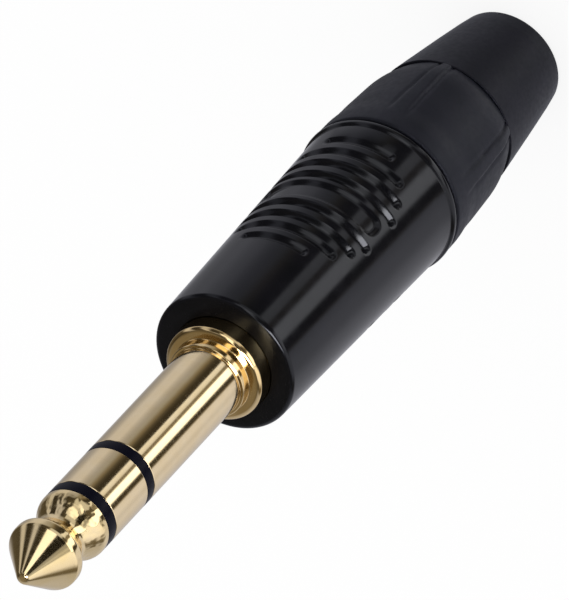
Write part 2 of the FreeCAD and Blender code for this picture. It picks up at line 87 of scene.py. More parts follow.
# Camera, fitted to the photograph's frame of 569 x 600
CAMERA_AZIMUTH = math.radians(-127.0)
CAMERA_ELEVATION = math.radians(45.61)
CAMERA_ROLL = math.radians(227.08)
AIM_HEIGHT = 39.73 * MM
AIM_SHIFT = -0.15 * MM
CAMERA_DISTANCE = 943.2 * MM
SENSOR_LONG_SIDE = 36.0
LENS = 687.3
NEAR_CLIP = 0.01
FAR_CLIP = 20.0


def make_camera():
    out = Vector((
        math.cos(CAMERA_ELEVATION) * math.cos(CAMERA_AZIMUTH),
        math.cos(CAMERA_ELEVATION) * math.sin(CAMERA_AZIMUTH),
        math.sin(CAMERA_ELEVATION),
    ))
    ahead = -out
    up = (Vector((0, 0, 1)) - ahead * ahead.z).normalized()
    right = ahead.cross(up)
    side_x = up * math.cos(CAMERA_ROLL) + right * math.sin(CAMERA_ROLL)
    side_y = up * math.sin(CAMERA_ROLL) - right * math.cos(CAMERA_ROLL)
    centre = Vector((0, 0, AIM_HEIGHT)) + right * AIM_SHIFT
    data = bpy.data.cameras.new("camera")
    data.sensor_width = SENSOR_LONG_SIDE
    data.lens = LENS
    data.clip_start = NEAR_CLIP
    data.clip_end = FAR_CLIP
    camera = bpy.data.objects.new("camera", data)
    bpy.context.scene.collection.objects.link(camera)
    turn = Matrix((side_x, side_y, out)).transposed().to_4x4()
    camera.matrix_world = Matrix.Translation(centre + out * CAMERA_DISTANCE) @ turn
    bpy.context.scene.camera = camera


# Nearly all of a noise's values lie between these two
NOISE_LOW = 0.3
NOISE_HIGH = 0.7


class Finish:
    """A surface: one Principled shader, varied by noise in the object's own coordinates."""

    def __init__(self, name, metallic=0.0, specular=0.5, gloss=(1.0, 1.0, 1.0)):
        self.material = bpy.data.materials.new(name)
        self.material.use_nodes = True
        self.tree = self.material.node_tree
        self.shader = self.tree.nodes["Principled BSDF"]
        self.shader.inputs["Metallic"].default_value = metallic
        self.shader.inputs["Specular IOR Level"].default_value = specular
        self.shader.inputs["Specular Tint"].default_value = (*gloss, 1.0)
        self.place = self.tree.nodes.new("ShaderNodeTexCoord").outputs["Object"]

    def grain(self, across, along=None, detail=3.0):
        """Noise with grains of this size in millimetres, across the axis and along it."""
        mapping = self.tree.nodes.new("ShaderNodeMapping")
        per_metre = 1 / (across * MM)
        per_metre_along = 1 / ((along or across) * MM)
        mapping.inputs["Scale"].default_value = (per_metre, per_metre, per_metre_along)
        self.tree.links.new(self.place, mapping.inputs["Vector"])
        noise = self.tree.nodes.new("ShaderNodeTexNoise")
        noise.inputs["Scale"].default_value = 1.0
        noise.inputs["Detail"].default_value = detail
        self.tree.links.new(mapping.outputs["Vector"], noise.inputs["Vector"])
        return noise.outputs[0]

    def spread(self, source, low, high):
        """The noise's middle range, stretched to run from low to high."""
        share = self.tree.nodes.new("ShaderNodeMapRange")
        share.inputs["From Min"].default_value = NOISE_LOW
        share.inputs["From Max"].default_value = NOISE_HIGH
        share.inputs["To Min"].default_value = low
        share.inputs["To Max"].default_value = high
        self.tree.links.new(source, share.inputs["Value"])
        return share.outputs["Result"]

    def plain(self, colour):
        """One base colour all over."""
        self.shader.inputs["Base Color"].default_value = (*colour, 1.0)

    def rough(self, source, low, high):
        """Roughness that the noise carries from low to high."""
        self.tree.links.new(self.spread(source, low, high), self.shader.inputs["Roughness"])

    def tint(self, source, first, second):
        """Base colour that the noise carries from the first to the second."""
        mix = self.tree.nodes.new("ShaderNodeMix")
        mix.data_type = "RGBA"
        colours = [socket for socket in mix.inputs if socket.type == "RGBA"]
        colours[0].default_value = (*first, 1.0)
        colours[1].default_value = (*second, 1.0)
        self.tree.links.new(self.spread(source, 0.0, 1.0), mix.inputs["Factor"])
        result = [socket for socket in mix.outputs if socket.type == "RGBA"][0]
        self.tree.links.new(result, self.shader.inputs["Base Color"])

    def below(self, height, fade):
        """1 under a height in millimetres, 0 from one fade above it."""
        split = self.tree.nodes.new("ShaderNodeSeparateXYZ")
        self.tree.links.new(self.place, split.inputs["Vector"])
        share = self.tree.nodes.new("ShaderNodeMapRange")
        share.inputs["From Min"].default_value = (height + fade) * MM
        share.inputs["From Max"].default_value = height * MM
        self.tree.links.new(split.outputs["Z"], share.inputs["Value"])
        return share.outputs["Result"]

    def relief(self, source, height, where=None):
        """Bumps of this height in millimetres, on top of those added before."""
        bump = self.tree.nodes.new("ShaderNodeBump")
        bump.inputs["Strength"].default_value = 1.0
        if where:
            self.tree.links.new(where, bump.inputs["Strength"])
        bump.inputs["Distance"].default_value = height * MM
        self.tree.links.new(source, bump.inputs["Height"])
        normal = self.shader.inputs["Normal"]
        if normal.links:
            self.tree.links.new(normal.links[0].from_socket, bump.inputs["Normal"])
        self.tree.links.new(bump.outputs["Normal"], normal)


# Finishes: grains and reliefs in millimetres. The satin blacks share one gloss.
BLUISH_GLOSS = (0.86, 0.88, 1.0)
UNEVEN_FADE = 0.6


def make_gold(name, light, deep):
    """Polished gold with fine turning marks."""
    finish = Finish(name, metallic=1.0)
    finish.tint(finish.grain(1.5), light, deep)
    finish.rough(finish.grain(2.0, 0.15), 0.07, 0.14)
    finish.relief(finish.grain(6.0, 0.12), 0.0004)
    finish.relief(finish.grain(0.9), 0.0007)
    return finish


def make_tip_gold():
    """The same gold, a little uneven behind the head."""
    finish = make_gold("tip_gold", (0.97, 0.78, 0.46), (0.94, 0.73, 0.38))
    behind_head = finish.below(nose - CONE_LENGTH - HEAD_LAND, UNEVEN_FADE)
    finish.relief(finish.grain(0.8, detail=1.0), 0.09, behind_head)
    return finish.material


def make_insulator():
    finish = Finish("black_insulator", specular=0.06)
    finish.plain((0.003, 0.003, 0.0075))
    finish.rough(finish.grain(0.4), 0.25, 0.36)
    finish.relief(finish.grain(0.3), 0.0006)
    return finish.material


def make_shell_black():
    finish = Finish("shell_black", specular=0.32, gloss=(0.92, 0.94, 1.0))
    finish.tint(finish.grain(3.0), (0.0036, 0.0038, 0.005), (0.0052, 0.005, 0.007))
    finish.rough(finish.grain(1.2), 0.1, 0.17)
    finish.relief(finish.grain(0.9), 0.0016)
    finish.relief(finish.grain(0.12), 0.0002)
    return finish.material


def make_face_black():
    finish = Finish("face_black", specular=0.17, gloss=(0.85, 0.92, 1.0))
    finish.tint(finish.grain(2.0), (0.0028, 0.0028, 0.0037), (0.0042, 0.004, 0.0052))
    finish.rough(finish.grain(0.5), 0.2, 0.28)
    finish.relief(finish.grain(0.15), 0.0008)
    return finish.material


def make_nut_black():
    finish = Finish("nut_black", specular=0.235, gloss=BLUISH_GLOSS)
    finish.tint(finish.grain(2.5), (0.0055, 0.0062, 0.0095), (0.0076, 0.0078, 0.0125))
    finish.rough(finish.grain(0.5), 0.44, 0.54)
    finish.relief(finish.grain(0.14), 0.0014)
    return finish.material


def make_tail_black():
    finish = Finish("tail_black", specular=0.15, gloss=BLUISH_GLOSS)
    finish.shader.inputs["Sheen Weight"].default_value = 0.08
    finish.shader.inputs["Sheen Roughness"].default_value = 0.3
    finish.shader.inputs["Sheen Tint"].default_value = (0.8, 0.84, 1.0, 1.0)
    finish.tint(finish.grain(3.5), (0.004, 0.0044, 0.0068), (0.006, 0.0058, 0.0098))
    finish.rough(finish.grain(0.4), 0.44, 0.54)
    finish.relief(finish.grain(0.1), 0.0012)
    return finish.material


def make_tinned():
    finish = Finish("tinned", metallic=1.0)
    finish.tint(finish.grain(0.8), (0.8, 0.76, 0.66), (0.66, 0.6, 0.48))
    finish.rough(finish.grain(0.5), 0.22, 0.42)
    finish.relief(finish.grain(0.7), 0.006)
    finish.relief(finish.grain(2.0, 0.05), 0.0006)
    return finish.material


def make_white_plastic():
    finish = Finish("white_plastic")
    finish.tint(finish.grain(3.0), (0.72, 0.72, 0.7), (0.66, 0.655, 0.63))
    finish.rough(finish.grain(0.6), 0.36, 0.5)
    finish.relief(finish.grain(0.15), 0.003)
    return finish.material


def make_liner_plastic():
    finish = Finish("liner_plastic")
    finish.tint(finish.grain(2.0), (0.026, 0.026, 0.028), (0.038, 0.038, 0.04))
    finish.rough(finish.grain(0.3), 0.48, 0.62)
    finish.relief(finish.grain(0.2), 0.003)
    return finish.material


ARC_STEPS = 6
FINE_ARC_STEPS = 12
SHARP_ANGLE = math.radians(38.0)
# Radii and heights in millimetres closer than this count as the same
CLOSE = 0.01


def rounded(corners, steps=ARC_STEPS):
    """Closed outline of (radius, height) from corners of (radius, height, rounding)."""
    points = []
    for index, (radius, height, rounding) in enumerate(corners):
        here = Vector((radius, height))
        if not rounding:
            points.append(here)
            continue
        before = (Vector(corners[index - 1][:2]) - here).normalized()
        after = (Vector(corners[(index + 1) % len(corners)][:2]) - here).normalized()
        half = before.angle(after) / 2
        centre = here + (before + after).normalized() * (rounding / math.sin(half))
        start = here + before * (rounding / math.tan(half)) - centre
        end = here + after * (rounding / math.tan(half)) - centre
        for step in range(steps + 1):
            points.append(centre + start.slerp(end, step / steps) * rounding)
    return points


def ladder(start, end, step):
    """Heights from start to end, evenly spaced by about a step."""
    count = max(1, round(abs(end - start) / step))
    return [start + (end - start) * index / count for index in range(count + 1)]


def revolve(name, outline, columns, radius_at=None):
    """Closed mesh turned about Z; radius_at may change a point's radius with its angle."""
    vertices = []
    rows = []
    for radius, height in outline:
        if radius < CLOSE:
            rows.append([len(vertices)])
            vertices.append((0.0, 0.0, height * MM))
            continue
        rows.append(range(len(vertices), len(vertices) + columns))
        for column in range(columns):
            angle = math.tau * column / columns
            reach = radius_at(radius, height, angle) if radius_at else radius
            x, y = reach * math.cos(angle), reach * math.sin(angle)
            vertices.append((x * MM, y * MM, height * MM))
    faces = []
    for upper, lower in zip(rows, rows[1:] + rows[:1]):
        for column in range(columns):
            following = (column + 1) % columns
            corners = [
                upper[column % len(upper)], upper[following % len(upper)],
                lower[following % len(lower)], lower[column % len(lower)],
            ]
            corners = list(dict.fromkeys(corners))
            if len(corners) > 2:
                faces.append(corners)
    mesh = bpy.data.meshes.new(name)
    mesh.from_pydata(vertices, [], faces)
    shape = bmesh.new()
    shape.from_mesh(mesh)
    bmesh.ops.recalc_face_normals(shape, faces=shape.faces)
    shape.to_mesh(mesh)
    shape.free()
    mesh.shade_smooth()
    mesh.set_sharp_from_angle(angle=SHARP_ANGLE)
    piece = bpy.data.objects.new(name, mesh)
    bpy.context.scene.collection.objects.link(piece)
    weighting = piece.modifiers.new("normals", "WEIGHTED_NORMAL")
    weighting.keep_sharp = True
    return piece


def stand_for(piece, node, material):
    """The piece is shown in place of a CAD node, on its body and with its finish."""
    piece.data.materials.append(material)
    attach(piece, body_of[node])
    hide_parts(node)


def smooth(share):
    """From 0 to 1 with soft ends."""
    share = min(max(share, 0.0), 1.0)
    return share * share * (3 - 2 * share)


def between(value, table):
    """Straight-line reading of a table of (value, result) in rising order."""
    for (low, first), (high, second) in zip(table, table[1:]):
        if value <= high:
            share = min(max((value - low) / (high - low), 0.0), 1.0)
            return first + (second - first) * share
    return table[-1][1]


# Shank, in millimetres
SHANK_RADIUS = 3.175
TURNED_COLUMNS = 160
NEST_GAP = 0.02
ROD_RADIUS = 0.9
TIP_TUBE_WALL = 0.43
RING_TUBE_WALL = 0.6
RING_SLEEVE_WALL = 0.46
tip_tube_inside = ROD_RADIUS + NEST_GAP
tip_tube_outside = tip_tube_inside + TIP_TUBE_WALL
ring_tube_inside = tip_tube_outside + NEST_GAP
ring_tube_outside = ring_tube_inside + RING_TUBE_WALL
ring_sleeve_inside = ring_tube_outside + NEST_GAP
ring_sleeve_outside = ring_sleeve_inside + RING_SLEEVE_WALL
sleeve_bore = ring_sleeve_outside + NEST_GAP
METAL_EDGE = 0.09
MOULDED_EDGE = 0.04

HEAD_RADIUS = 3.175
NOSE_RADIUS = 0.45
NOSE_ROUND = 0.6
CONE_LENGTH = 3.45
HEAD_LAND = 0.8
WAIST_RADIUS = 1.97
WAIST_DEPTH = 6.1
BULGE_LENGTH = 0.75
SHOULDER_ROUND = 0.6
BULGE_ROUND = 1.6
WAIST_ROUND = 1.0
RIVET_RADIUS = 1.5
RIVET_HEIGHT = 0.6
RIVET_ROUND = 0.25


def make_tip():
    """Tip with its cone, waist and bulge, its rod and the rivet at the rod's end."""
    outline = rounded([
        (0.0, nose, 0),
        (NOSE_RADIUS, nose, NOSE_ROUND),
        (HEAD_RADIUS, nose - CONE_LENGTH, SHOULDER_ROUND),
        (HEAD_RADIUS, nose - CONE_LENGTH - HEAD_LAND, SHOULDER_ROUND),
        (WAIST_RADIUS, nose - WAIST_DEPTH, WAIST_ROUND),
        (HEAD_RADIUS, tip_back + BULGE_LENGTH, BULGE_ROUND),
        (HEAD_RADIUS, tip_back, METAL_EDGE),
        (ROD_RADIUS, tip_back, 0),
        (ROD_RADIUS, rod_end + RIVET_HEIGHT, 0),
        (RIVET_RADIUS, rod_end + RIVET_HEIGHT, 0),
        (RIVET_RADIUS, rod_end, RIVET_ROUND),
        (0.0, rod_end, 0),
    ], FINE_ARC_STEPS)
    return revolve("tip_turned", outline, TURNED_COLUMNS)


def make_ferrule(name, inside, outside, front, shoulder, back, edge):
    """A ring flush with the shank, on a tube that runs back from it."""
    return revolve(name, rounded([
        (inside, front, 0),
        (SHANK_RADIUS, front, edge),
        (SHANK_RADIUS, shoulder, edge),
        (outside, shoulder, 0),
        (outside, back, 0),
        (inside, back, 0),
    ]), TURNED_COLUMNS)


COLLAR_STAND = 1.9
STEP_LENGTH = 1.0
STEP_RADIUS = 3.45
STEP_ROUND = 0.1
STEP_FRONT_FILLET = 0.05
STEP_REAR_FILLET = 0.08
COLLAR_RADIUS = 4.42
COLLAR_ROUND = 0.45
FLANGE_RADIUS = 5.15
FLANGE_THICKNESS = 2.0
FLANGE_ROUND = 0.15
SPIGOT_RADIUS = 3.6
SPIGOT_LENGTH = 1.5
flange_back = spigot_end + SPIGOT_LENGTH
wall_inside = flange_back + FLANGE_THICKNESS


def make_sleeve():
    """Sleeve with its step and collar; faces behind the shank take the second material, a deeper
    gold that is partly painted reflection.
    """
    collar_top = shell_top + COLLAR_STAND
    shank_start = collar_top + STEP_LENGTH
    piece = revolve("sleeve_turned", rounded([
        (sleeve_bore, sleeve_front, 0),
        (SHANK_RADIUS, sleeve_front, METAL_EDGE),
        (SHANK_RADIUS, shank_start, STEP_FRONT_FILLET),
        (STEP_RADIUS, shank_start, STEP_ROUND),
        (STEP_RADIUS, collar_top, STEP_REAR_FILLET),
        (COLLAR_RADIUS, collar_top, COLLAR_ROUND),
        (COLLAR_RADIUS, wall_inside, 0),
        (FLANGE_RADIUS, wall_inside, FLANGE_ROUND),
        (FLANGE_RADIUS, flange_back, FLANGE_ROUND),
        (SPIGOT_RADIUS, flange_back, 0),
        (SPIGOT_RADIUS, spigot_end, FLANGE_ROUND),
        (sleeve_bore, spigot_end, 0),
    ]), TURNED_COLUMNS)
    for face in piece.data.polygons:
        if face.center.z < (shank_start + CLOSE) * MM:
            face.material_index = 1
    return piece


# Shell, in millimetres
SHELL_COLUMNS = 264
FRONT_RADIUS = 6.43
REAR_RADIUS = 7.12
FRONT_ROUND = 0.45
LIP_RADIUS = 7.36
LIP_LENGTH = 1.3
LIP_BEAD = 0.52
LIP_STEP = 0.74
LIP_ROUND = 0.25
LIP_FILLET = 0.18
BEAD_ROUND = 0.4
BORE_RADIUS = 5.3
HOLE_RADIUS = 4.47
HOLE_ROUND = 0.03
NECK_RADIUS = 6.05
NECK_CHAMFER = 0.3
KEYWAY_RADIUS = 5.6
KEYWAY_HALF = 0.8
THREAD_PITCH = 1.0
THREAD_DEPTH = 0.3
THREAD_FADE = 0.5
THREAD_STEEPNESS = 3.0
THREAD_FLAT = 0.25
ROWS_PER_PITCH = 12

# Finger grips: rows of grooves on both sides of a plain band, on -Y and on +Y
GRIP_BELOW_FRONT = 16.75
GRIP_DEPTH = 0.3
GROOVE_START = 2.15
GROOVE_PITCH = 1.76
GROOVE_REACHES = [60.0, 54.0, 45.0, 29.0]
GROOVE_SHARES = [1.8, 1.75, 1.1, 1.0]
GROOVE_RIM = 0.56
GROOVE_FADE = 0.55
GROOVE_POWER = 1.5
BAND_REACH = 55.0
BAND_FLOOR = 0.7
BAND_RIM = 1.2
GRIP_ROW = 0.08
grip_centre = shell_top - GRIP_BELOW_FRONT

# Each slot: height of its middle, reach in degrees, half widths of floor and rim, depth
grip_slots = [(grip_centre, BAND_REACH, BAND_FLOOR, BAND_RIM, GRIP_DEPTH)]
for row, (reach, share) in enumerate(zip(GROOVE_REACHES, GROOVE_SHARES)):
    away = GROOVE_START + GROOVE_PITCH * row
    for height in (grip_centre - away, grip_centre + away):
        grip_slots.append((height, reach, 0.0, GROOVE_RIM, GRIP_DEPTH * share))
grip_half = GROOVE_START + GROOVE_PITCH * (len(GROOVE_REACHES) - 1) + GROOVE_RIM


def surface_radius(height):
    """The shell's outside is a straight cone from its front to its lip."""
    slope = (REAR_RADIUS - FRONT_RADIUS) / (shell_top - shell_bottom - LIP_LENGTH)
    return FRONT_RADIUS + slope * (shell_top - height)


def grip_cut(radius, height, angle):
    """Depth of the grooves and bands: slots with round ends, measured on the surface."""
    across = abs(math.remainder(angle - math.pi / 2, math.pi)) * radius
    deepest = 0.0
    for middle, reach, floor, rim, depth in grip_slots:
        off_row = height - middle
        if abs(off_row) < rim:
            end = math.radians(reach) * radius
            gap = math.hypot(max(across - (end - rim), 0.0), off_row)
            share = min(max((gap - floor) / (rim - floor), 0.0), 1.0)
            fade = smooth((end - across) / GROOVE_FADE)
            deepest = max(deepest, depth * fade * (1.0 - share ** 2) ** GROOVE_POWER)
    return deepest


def thread_cut(height, angle, low, high):
    """Depth of a right-hand screw thread with flat crests, which runs out at both ends."""
    share = (height / THREAD_PITCH - angle / math.tau) % 1.0
    wave = min(max(THREAD_STEEPNESS * abs(share - 0.5) - THREAD_FLAT, 0.0), 1.0)
    ends = smooth((height - low) / THREAD_FADE) * smooth((high - height) / THREAD_FADE)
    return THREAD_DEPTH * wave * ends


def shell_radius(radius, height, angle):
    """The shell's grips outside, the thread on its neck, and the two keyways in its bore."""
    if radius > surface_radius(height) - CLOSE and abs(height - grip_centre) < grip_half:
        return radius - grip_cut(radius, height, angle)
    if abs(radius - NECK_RADIUS) < CLOSE:
        return radius - thread_cut(height, angle, neck_end + NECK_CHAMFER, shell_bottom)
    in_keyway = abs(radius * math.sin(angle)) < KEYWAY_HALF
    if in_keyway and abs(radius - BORE_RADIUS) < CLOSE and height < wall_inside + CLOSE:
        return KEYWAY_RADIUS
    return radius


def make_shell():
    """Shell with its grips and neck; its flat front takes the second material."""
    lip_top = shell_bottom + LIP_STEP
    grip_rows = ladder(grip_centre + grip_half, grip_centre - grip_half, GRIP_ROW)
    thread_rows = ladder(shell_bottom, neck_end + NECK_CHAMFER, THREAD_PITCH / ROWS_PER_PITCH)
    outline = rounded([
        (HOLE_RADIUS, shell_top, HOLE_ROUND),
        (FRONT_RADIUS, shell_top, FRONT_ROUND),
        *[(surface_radius(height), height, 0) for height in grip_rows],
        (surface_radius(lip_top), lip_top, LIP_FILLET),
        (LIP_RADIUS, shell_bottom + LIP_BEAD, BEAD_ROUND),
        (LIP_RADIUS, shell_bottom, LIP_ROUND),
        *[(NECK_RADIUS, height, 0) for height in thread_rows],
        (NECK_RADIUS - NECK_CHAMFER, neck_end, 0),
        (BORE_RADIUS, neck_end, 0),
        (BORE_RADIUS, wall_inside, 0),
        (HOLE_RADIUS, wall_inside, 0),
    ])
    piece = revolve("shell_cast", outline, SHELL_COLUMNS, shell_radius)
    for face in piece.data.polygons:
        if face.center.z > (shell_top - CLOSE) * MM:
            face.material_index = 1
    return piece


# Boot, in millimetres
BOOT_COLUMNS = 360
NUT_FRONT_RADIUS = 7.3
NUT_SHOULDER_RADIUS = 7.24
NUT_SHOULDER_HEIGHT = 6.3
NUT_WAIST_RADIUS = 7.04
NUT_WAIST_HEIGHT = 1.9
NUT_REAR_RADIUS = 6.46
NUT_ROW = 0.16
NUT_EDGE_ROUND = 0.28
NUT_REAR_ROUND = 0.06
NUT_LAST_ROW = 0.2
# Points this little inside the nut's profile still belong to its outside
NUT_SKIN = 0.05
NUT_BORE_RADIUS = 6.2
NUT_THREAD_LENGTH = 7.2
ANCHOR_RADIUS = 4.6
ANCHOR_ROUND = 0.15
CABLE_RADIUS = 3.6
NUT_FLOOR = 1.0
CONE_REAR_RADIUS = 4.85
CONE_FRONT_RADIUS = 5.25
CONE_TOP = 4.3
NUT_WAIST_ROUND = 9.0
FLUTE_TURN = math.radians(72.0)
FLUTE_CLOCKING = math.radians(12.0)
FLUTE_LENGTH = 9.8
FLUTE_END = 2.2
FLUTE_MIDDLE = 0.2
FLUTE_SIDE = 0.1
FLUTE_FRONT_SHARE = 0.55
RIB_REAR_HALF = math.radians(2.4)
RIB_FRONT_HALF = math.radians(4.4)
RIB_FLANK = math.radians(2.8)
CREASE_DEPTH = 0.13
CREASE_HALF = math.radians(1.8)


def bent(corners):
    """Table of (height, radius) in rising order from (radius, height, rounding) corners."""
    return sorted((point.y, point.x) for point in rounded(corners, FINE_ARC_STEPS))


nut_profile = bent([
    (NUT_REAR_RADIUS, nut_bottom, 0),
    (NUT_WAIST_RADIUS, nut_bottom + NUT_WAIST_HEIGHT, NUT_WAIST_ROUND),
    (NUT_SHOULDER_RADIUS, nut_bottom + NUT_SHOULDER_HEIGHT, 0),
    (NUT_FRONT_RADIUS, nut_top, 0),
])
thread_start = nut_top - NUT_THREAD_LENGTH


def flute_cut(height, angle):
    """Five shallow flutes, parted by narrow ribs with a crease along each flank."""
    along = (height - nut_bottom) / FLUTE_LENGTH
    if along > 1.0:
        return 0.0
    turn = abs(math.remainder(angle - FLUTE_CLOCKING, FLUTE_TURN))
    edge = FLUTE_TURN / 2 - RIB_REAR_HALF - (RIB_FRONT_HALF - RIB_REAR_HALF) * along
    end = (1.0 - along) * FLUTE_LENGTH / FLUTE_END
    lowered = smooth((edge - turn) / RIB_FLANK) * smooth(end)
    depth = FLUTE_SIDE + FLUTE_MIDDLE * max(1.0 - (turn / edge) ** 2, 0.0)
    crease = CREASE_DEPTH * math.exp(-((edge - RIB_FLANK - turn) / CREASE_HALF) ** 2)
    return (depth + crease) * lowered * (1.0 - (1.0 - FLUTE_FRONT_SHARE) * along)


def nut_radius(radius, height, angle):
    """The nut's outside with its flutes and ribs, and the thread in its bore."""
    if radius > between(height, nut_profile) - NUT_SKIN:
        return radius - flute_cut(height, angle)
    if abs(radius - NUT_BORE_RADIUS) < CLOSE:
        return radius + THREAD_DEPTH - thread_cut(height, angle, thread_start, nut_top)
    return radius


def make_nut():
    """Hard front of the boot, with the tube that carries the tail."""
    outside_rows = ladder(nut_top - NUT_EDGE_ROUND * 2, nut_bottom + NUT_LAST_ROW, NUT_ROW)
    thread_rows = ladder(thread_start, nut_top, THREAD_PITCH / ROWS_PER_PITCH)
    outline = rounded([
        (NUT_FRONT_RADIUS, nut_top, NUT_EDGE_ROUND),
        *[(between(height, nut_profile), height, 0) for height in outside_rows],
        (NUT_REAR_RADIUS, nut_bottom, NUT_REAR_ROUND),
        (ANCHOR_RADIUS, nut_bottom, 0),
        (ANCHOR_RADIUS, anchor_end, ANCHOR_ROUND),
        (CABLE_RADIUS, anchor_end, ANCHOR_ROUND),
        (CABLE_RADIUS, nut_bottom + NUT_FLOOR, 0),
        (CONE_REAR_RADIUS, nut_bottom + NUT_FLOOR, 0),
        (CONE_FRONT_RADIUS, nut_bottom + CONE_TOP, 0),
        (CONE_FRONT_RADIUS, thread_start, 0),
        *[(NUT_BORE_RADIUS, height, 0) for height in thread_rows],
    ])
    return revolve("nut_moulded", outline, BOOT_COLUMNS, nut_radius)


TAIL_FRONT_RADIUS = 6.4
TAIL_MIDDLE_RADIUS = 5.66
TAIL_MIDDLE_HEIGHT = 5.4
TAIL_MIDDLE_ROUND = 12.0
TAIL_END_RADIUS = 5.18
TAIL_END_HEIGHT = 1.8
TAIL_END_ROUND = 6.0
TAIL_REAR_RADIUS = 4.88
TAIL_REAR_ROUND = 0.45
TAIL_FRONT_ROUND = 0.12
TAIL_ARC_STEPS = 10
CABLE_FLARE = 0.35
TAIL_LEAN = 0.24
TAIL_LEAN_ANGLE = math.radians(143.0)


def make_tail():
    """Soft tail of the boot, which leans a little to one side, more towards its end."""
    bore = ANCHOR_RADIUS + NEST_GAP
    piece = revolve("tail_moulded", rounded([
        (bore, nut_bottom, 0),
        (TAIL_FRONT_RADIUS, nut_bottom, TAIL_FRONT_ROUND),
        (TAIL_MIDDLE_RADIUS, TAIL_MIDDLE_HEIGHT, TAIL_MIDDLE_ROUND),
        (TAIL_END_RADIUS, TAIL_END_HEIGHT, TAIL_END_ROUND),
        (TAIL_REAR_RADIUS, 0.0, TAIL_REAR_ROUND),
        (CABLE_RADIUS, 0.0, CABLE_FLARE),
        (CABLE_RADIUS, anchor_end, 0),
        (bore, anchor_end, 0),
    ], TAIL_ARC_STEPS), BOOT_COLUMNS)
    for vertex in piece.data.vertices:
        share = 1.0 - vertex.co.z / (nut_bottom * MM)
        vertex.co.x += TAIL_LEAN * math.cos(TAIL_LEAN_ANGLE) * share * MM
        vertex.co.y += TAIL_LEAN * math.sin(TAIL_LEAN_ANGLE) * share * MM
    return piece


# Studio seen in the gloss: (degrees, level) stops. The degrees turn anticlockwise from the
# camera's side, as seen from above. The first ramp is for directions near the floor.
LOW_STUDIO = [
    (-180, 0.5), (-140, 0.55), (-119, 0.62), (-108, 0.68), (-92, 0.62), (-77, 0.74), (-62, 0.72),
    (-58, 0.2), (-55, 0.05), (-44.5, 0.05), (-42, 0.45), (-39.5, 1.6), (-22, 1.8), (-19, 0.9),
    (-17.5, 0.2), (-10, 0.2), (-7, 0.74), (5, 0.9), (7.5, 0.04), (20, 0.04), (28, 0.08),
    (37, 0.2), (47, 0.33), (57, 0.37), (67, 0.46), (78, 0.6), (104, 0.58), (120, 0.4), (142, 0.3),
    (160, 0.4), (180, 0.6),
]
MIDDLE_STUDIO = [
    (-180, 0.4), (-140, 0.5), (-108, 0.46), (-101, 0.13), (-93, 0.15), (-82, 0.9), (-50, 1.1),
    (-49, 0.3), (-46, 1.7), (-22, 1.7), (-18, 0.1), (-4, 0.1), (0, 0.6), (34, 0.6), (38, 0.08),
    (60, 0.04), (70, 0.5), (78, 0.5), (84, 0.04), (98, 0.03), (104, 0.55), (112, 0.55),
    (118, 0.07), (150, 0.09), (180, 0.4),
]
HIGH_STUDIO = [
    (-180, 0.4), (-140, 0.35), (-108, 0.32), (-102, 0.08), (-88, 0.1), (-78, 0.9), (-47, 1.1),
    (-43, 0.4), (-36, 0.6), (-30, 0.35), (-22, 0.35), (-20, 0.01), (12, 0.01), (14, 1.3),
    (42, 1.3), (45, 0.04), (66, 0.03), (70, 0.55), (77, 0.6), (81, 0.06), (100, 0.04),
    (104, 0.35), (112, 0.4), (118, 0.05), (150, 0.04), (180, 0.4),
]
TOP_STUDIO = [
    (-180, 0.2), (-120, 0.1), (-78, 0.1), (-60, 0.35), (-20, 0.3), (13, 0.2), (16, 2.2),
    (28, 2.2), (34, 0.3), (60, 0.35), (78, 0.1), (140, 0.1), (180, 0.2),
]
LAMP_STUDIO = [
    (-180, 0.2), (-80, 0.1), (-62, 0.1), (-57, 11.0), (-24, 11.0), (-20, 0.02), (14, 0.02),
    (18, 1.5), (34, 1.5), (38, 0.05), (100, 0.1), (180, 0.2),
]
# Each later ramp takes over from one height of the direction's unit vector to another
studio_layers = [
    (MIDDLE_STUDIO, -0.5, -0.26),
    (HIGH_STUDIO, 0.24, 0.42),
    (TOP_STUDIO, 0.56, 0.68),
    (LAMP_STUDIO, 0.74, 0.77),
]
# Dim parts are warm, and bright ones bluish beyond this many degrees to either side
NEUTRAL = (1.0, 1.0, 1.0)
BLUISH = (0.98, 0.98, 1.06)
NEUTRAL_HALF = 56.0
WARM = (1.0, 0.86, 0.62)
WARM_BELOW = 0.27


def hue_of(degrees, level):
    """Hue of the studio's light at a turn and level."""
    if level < WARM_BELOW:
        return WARM
    return BLUISH if abs(degrees) > NEUTRAL_HALF else NEUTRAL


def make_ramp(tree, stops, angle_share):
    """Colour ramp of (degrees, level) stops over the share of a whole turn."""
    node = tree.nodes.new("ShaderNodeValToRGB")
    elements = node.color_ramp.elements
    elements[0].position, elements[1].position = 0.0, 1.0
    for degrees, _ in stops[1:-1]:
        elements.new((degrees + 180.0) / 360.0)
    for element, (degrees, level) in zip(elements, stops):
        element.color = (*[level * part for part in hue_of(degrees, level)], 1.0)
    tree.links.new(angle_share, node.inputs["Fac"])
    return node.outputs["Color"]


